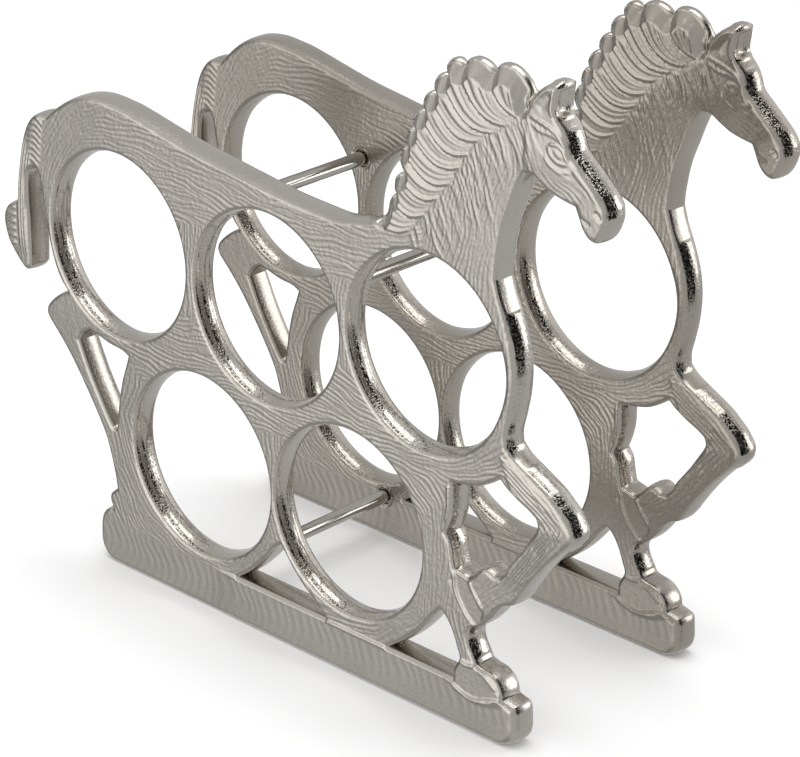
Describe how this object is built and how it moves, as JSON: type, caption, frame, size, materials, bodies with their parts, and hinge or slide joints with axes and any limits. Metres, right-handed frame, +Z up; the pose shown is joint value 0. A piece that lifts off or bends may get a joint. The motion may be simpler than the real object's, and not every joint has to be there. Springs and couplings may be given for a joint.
{
  "type": "wine rack",
  "caption": "Free-standing table wine rack: two cast horse silhouettes side by side, pierced with round bottle holes and held apart by slim tie rods.",
  "frame": {"origin": "centre of the footprint's bounding box, on the surface that both base rails stand on", "axes": "+X along the horses toward the heads, +Y from the near panel to the far panel, +Z up"},
  "size_m": [0.3478, 0.1172, 0.287],
  "materials": {
    "near_panel": "cast, nickel plated, satin with polished hole walls",
    "far_panel": "cast, nickel plated, satin with polished hole walls",
    "tie_rods": "polished nickel plate",
    "screws": "nickel plate"
  },
  "bodies": {
    "root": {"near_horse_panel": "near_panel", "far_horse_panel": "far_panel", "upper_rear_tie_rod": "tie_rods", "upper_front_tie_rod": "tie_rods", "lower_tie_rod": "tie_rods", "upper_rear_screw": "screws", "upper_front_screw": "screws", "lower_screw": "screws"}
  },
  "joints": []
}
